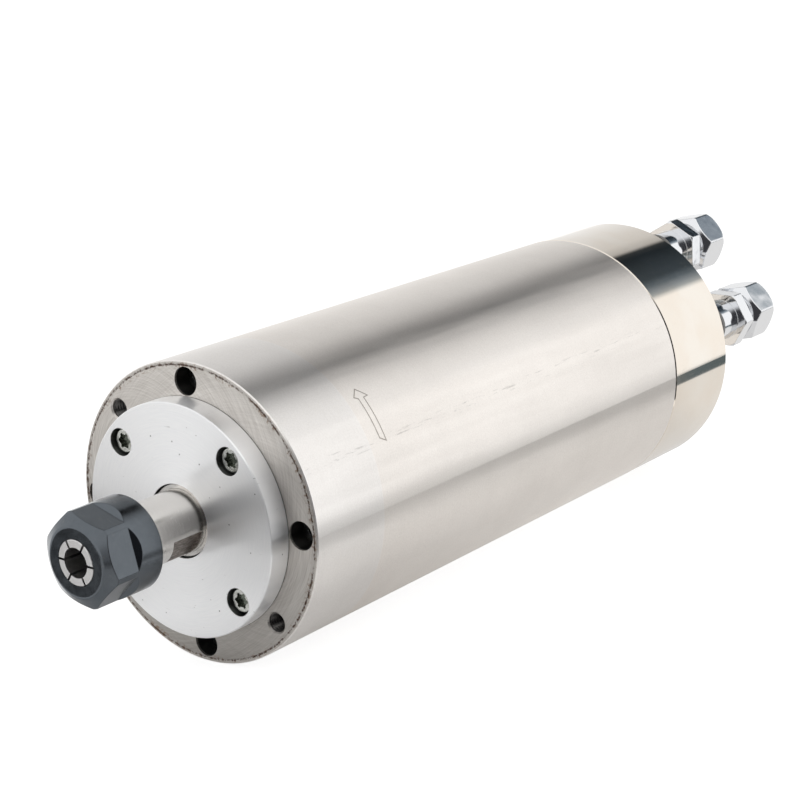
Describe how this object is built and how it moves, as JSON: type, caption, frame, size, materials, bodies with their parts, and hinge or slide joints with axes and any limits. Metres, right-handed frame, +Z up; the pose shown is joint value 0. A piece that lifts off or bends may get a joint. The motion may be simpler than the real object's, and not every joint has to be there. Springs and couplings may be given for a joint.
{
  "type": "motor spindle",
  "caption": "Cylindrical water-cooled motor spindle with a collet and nut on its nose, a screwed front cover and two rear hose fittings.",
  "frame": {"origin": "on the spindle axis, at the front face of the bearing flange", "axes": "+Y runs along the spindle axis from the nose to the rear cap, and +Z is up with the spindle lying down"},
  "size_m": [0.0635, 0.2181, 0.062],
  "materials": {
    "ground_stainless": "satin ground stainless steel",
    "polished_stainless": "polished stainless steel",
    "turned_steel": "face turned steel, with a few rust specks at the rim",
    "bright_aluminium": "fine turned aluminium",
    "cast_aluminium": "machined aluminium",
    "black_screw": "black oxide",
    "zinc_screw": "zinc plated",
    "seal_rubber": "black rubber",
    "gasket_fibre": "pressed fibre gasket",
    "bearing_steel": "ground bearing steel",
    "ball_steel": "polished bearing balls",
    "cage_resin": "laminated resin cage",
    "spring_steel": "spring steel",
    "shaft_steel": "ground alloy steel",
    "lamination_steel": "stacked electrical steel",
    "rotor_aluminium": "cast aluminium",
    "winding_copper": "enamelled copper, varnished",
    "lead_silicone": "silicone insulated lead",
    "collet_steel": "hardened and ground collet steel",
    "black_nut": "black oxide, satin",
    "fitting_chrome": "chrome plated brass",
    "washer_fibre": "nylon sealing washer",
    "socket_chrome": "nickel plated",
    "socket_resin": "black moulded insulator",
    "contact_gold": "gold plated pin"
  },
  "bodies": {
    "housing": {"outer_sleeve": "ground_stainless", "front_flange": "turned_steel", "flange_screws": "black_screw", "front_cover": "bright_aluminium", "cover_screws": "zinc_screw", "water_jacket": "cast_aluminium", "jacket_orings": "seal_rubber", "rear_gasket": "gasket_fibre", "rear_bearing_housing": "cast_aluminium", "rear_housing_screws": "black_screw", "passage_seals": "seal_rubber", "rear_cap": "polished_stainless", "rear_cap_screws": "zinc_screw", "front_bearing_outer_rings": "bearing_steel", "outer_spacer": "bearing_steel", "rear_bearing_outer_ring": "bearing_steel", "wave_spring": "spring_steel", "stator_core": "lamination_steel", "stator_winding": "winding_copper", "motor_leads": "lead_silicone", "fitting_washers": "washer_fibre", "socket_shell": "socket_chrome", "socket_insert": "socket_resin", "socket_pins": "contact_gold", "socket_nut": "socket_chrome", "inlet_fitting": "fitting_chrome", "outlet_fitting": "fitting_chrome"},
    "rotor": {"spindle_shaft": "shaft_steel", "slinger_ring": "shaft_steel", "shaft_lock_nut": "shaft_steel", "rotor_core": "lamination_steel", "rotor_cage": "rotor_aluminium", "front_bearing_inner_rings": "bearing_steel", "inner_spacer": "bearing_steel", "rear_bearing_inner_ring": "bearing_steel"},
    "front_ball_sets": {"front_bearing_cages": "cage_resin", "front_bearing_balls": "ball_steel"},
    "rear_ball_set": {"rear_bearing_cage": "cage_resin", "rear_bearing_balls": "ball_steel"},
    "collet": {"er_collet": "collet_steel"},
    "nut": {"collet_nut": "black_nut"},
    "inlet_nut": {"inlet_hose_nut": "fitting_chrome"},
    "outlet_nut": {"outlet_hose_nut": "fitting_chrome"}
  },
  "joints": [
    {"name": "spindle_spin", "type": "hinge", "parent": "housing", "child": "rotor", "pos_m": [0, 0, 0], "axis": [0, -1, 0], "continuous": true},
    {"name": "front_balls_orbit", "type": "hinge", "parent": "housing", "child": "front_ball_sets", "pos_m": [0, 0.0125, 0], "axis": [0, -1, 0], "continuous": true},
    {"name": "rear_balls_orbit", "type": "hinge", "parent": "housing", "child": "rear_ball_set", "pos_m": [0, 0.121, 0], "axis": [0, -1, 0], "continuous": true},
    {"name": "collet_slide", "type": "slide", "parent": "rotor", "child": "collet", "axis": [0, -1, 0], "range_m": [0, 0.0075]},
    {"name": "nut_turn", "type": "hinge", "parent": "collet", "child": "nut", "pos_m": [0, -0.0256, 0], "axis": [0, -1, 0], "range_deg": [0, 3600]},
    {"name": "inlet_nut_turn", "type": "hinge", "parent": "housing", "child": "inlet_nut", "pos_m": [0.01072, 0.18, 0.02352], "axis": [0, 1, 0], "range_deg": [0, 1800]},
    {"name": "outlet_nut_turn", "type": "hinge", "parent": "housing", "child": "outlet_nut", "pos_m": [0.02497, 0.18, 0.00669], "axis": [0, 1, 0], "range_deg": [0, 1800]}
  ],
  "couplings": [
    {"joint": "front_balls_orbit", "follows": "spindle_spin", "ratio": 0.402},
    {"joint": "rear_balls_orbit", "follows": "spindle_spin", "ratio": 0.385},
    {"joint": "collet_slide", "follows": "nut_turn", "m_per_rad": 0.00011937}
  ]
}
